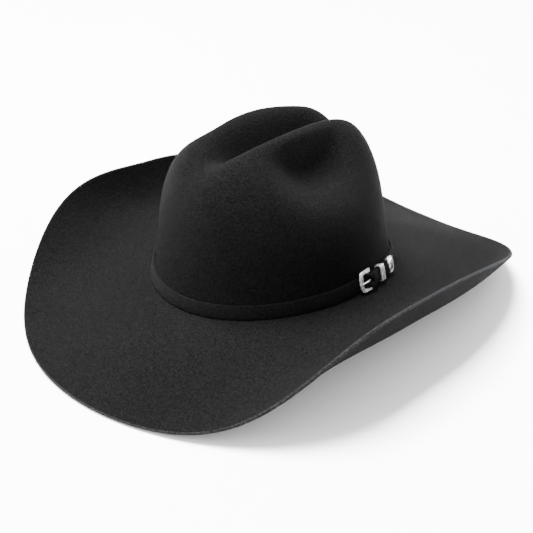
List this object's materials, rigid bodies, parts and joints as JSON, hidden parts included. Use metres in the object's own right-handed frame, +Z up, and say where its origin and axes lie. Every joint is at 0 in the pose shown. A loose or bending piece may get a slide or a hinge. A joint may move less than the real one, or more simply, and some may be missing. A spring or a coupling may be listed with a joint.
{
  "type": "western felt hat",
  "caption": "Black felt western hat with a creased crown, a brim rolled up at the sides, and a felt belt closed by a silver buckle set.",
  "frame": {"origin": "on the resting plane, under the middle of the hat's bounding box", "axes": "+Z up out of the crown, -Y the front of the hat, +X the wearer's left, where the buckle set sits"},
  "size_m": [0.3268, 0.401, 0.1484],
  "materials": {
    "felt": "short napped black felt",
    "belt_felt": "black felt strip",
    "sweatband_leather": "smooth dark leather",
    "reed": "dark leather covered reed",
    "ribbon": "ribbed ribbon",
    "thread": "twisted thread",
    "satin": "smooth satin",
    "silver": "polished silver plate with dark engraving"
  },
  "bodies": {
    "hat": {"felt_body": "felt", "sweatband": "sweatband_leather", "sweatband_reed": "reed", "reed_tape": "ribbon", "sweatband_stitching": "thread", "seam_stitches": "thread", "bow": "ribbon", "liner_wall": "satin", "liner_tip": "satin", "hatband_strap": "belt_felt", "strap_tip": "silver"},
    "buckle": {"buckle_frame": "silver"},
    "prong": {"buckle_prong": "silver"},
    "keeper": {"keeper_loop": "silver"}
  },
  "joints": [
    {"name": "buckle_tilt", "type": "hinge", "parent": "hat", "child": "buckle", "pos_m": [0.08765, 0.01858, 0.04185], "axis": [-0.2627, 0.0221, 0.9646], "range_deg": [0, 12]},
    {"name": "prong_pivot", "type": "hinge", "parent": "buckle", "child": "prong", "pos_m": [0.08765, 0.01858, 0.04185], "axis": [-0.2627, 0.0221, 0.9646], "range_deg": [0, 30]},
    {"name": "keeper_slide", "type": "slide", "parent": "hat", "child": "keeper", "axis": [-0.2505, 0.9652, -0.0753], "range_m": [-0.002, 0.002]}
  ]
}
